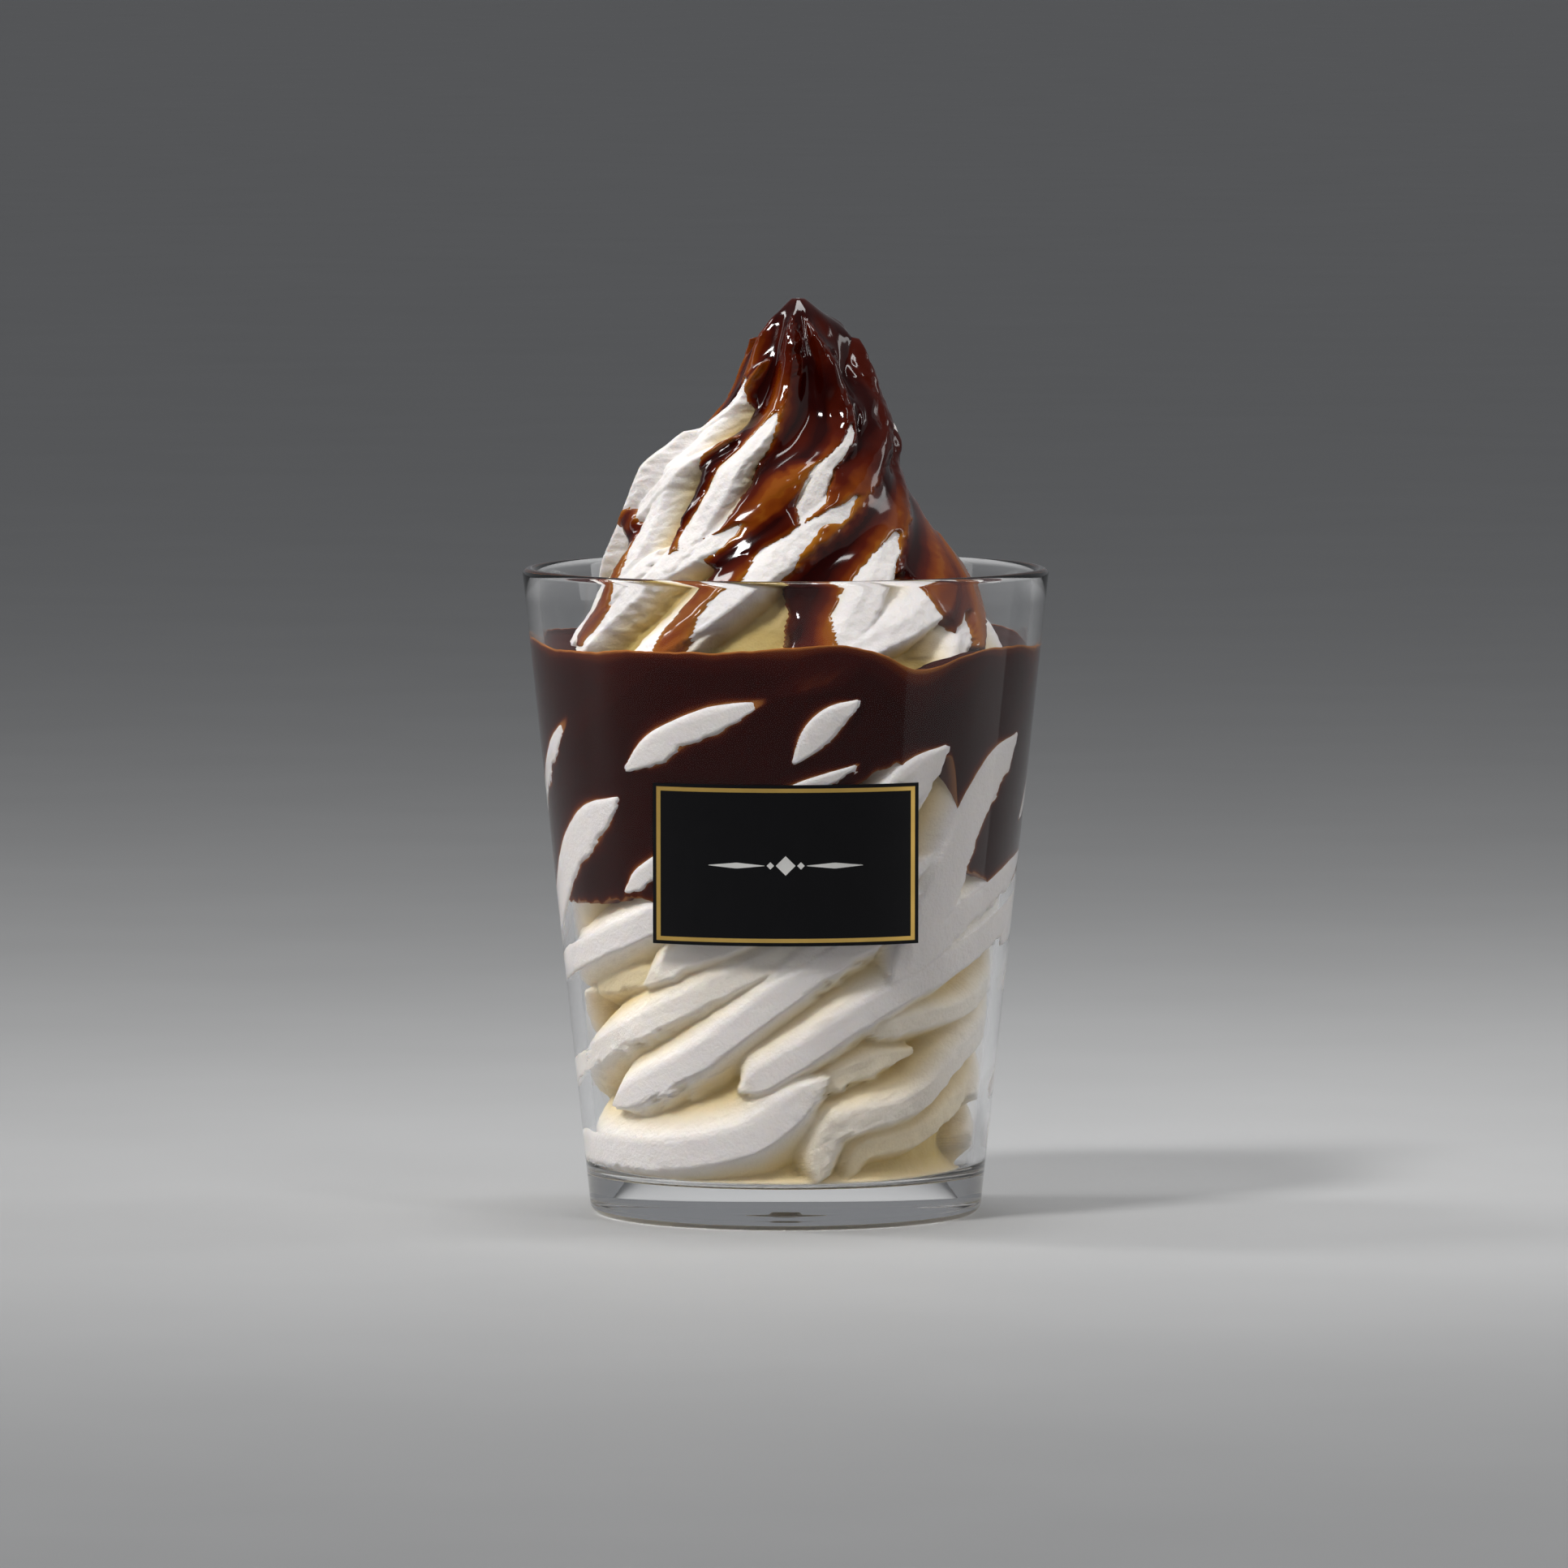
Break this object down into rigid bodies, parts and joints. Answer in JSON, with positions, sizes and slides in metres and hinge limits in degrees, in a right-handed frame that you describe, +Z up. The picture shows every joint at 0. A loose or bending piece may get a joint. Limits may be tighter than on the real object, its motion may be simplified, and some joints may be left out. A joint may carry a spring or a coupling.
{
  "type": "sundae",
  "caption": "Soft-serve vanilla sundae in a clear tumbler, swirled to a peak, with chocolate sauce against the wall and poured over the top.",
  "frame": {"origin": "middle of the circle that the cup stands on", "axes": "+Z up along the cup's axis, the label faces -Y, +X to the right of the label"},
  "size_m": [0.0802, 0.0802, 0.14],
  "materials": {
    "clear_plastic": "polished clear",
    "vanilla": "matt frozen cream with icy ridges",
    "chocolate_sauce": "wet gloss, amber where thin",
    "black_label": "satin black with a gold line"
  },
  "bodies": {
    "root": {"cup": "clear_plastic", "label": "black_label", "ice_cream": "vanilla", "sauce_band": "chocolate_sauce"}
  },
  "joints": []
}
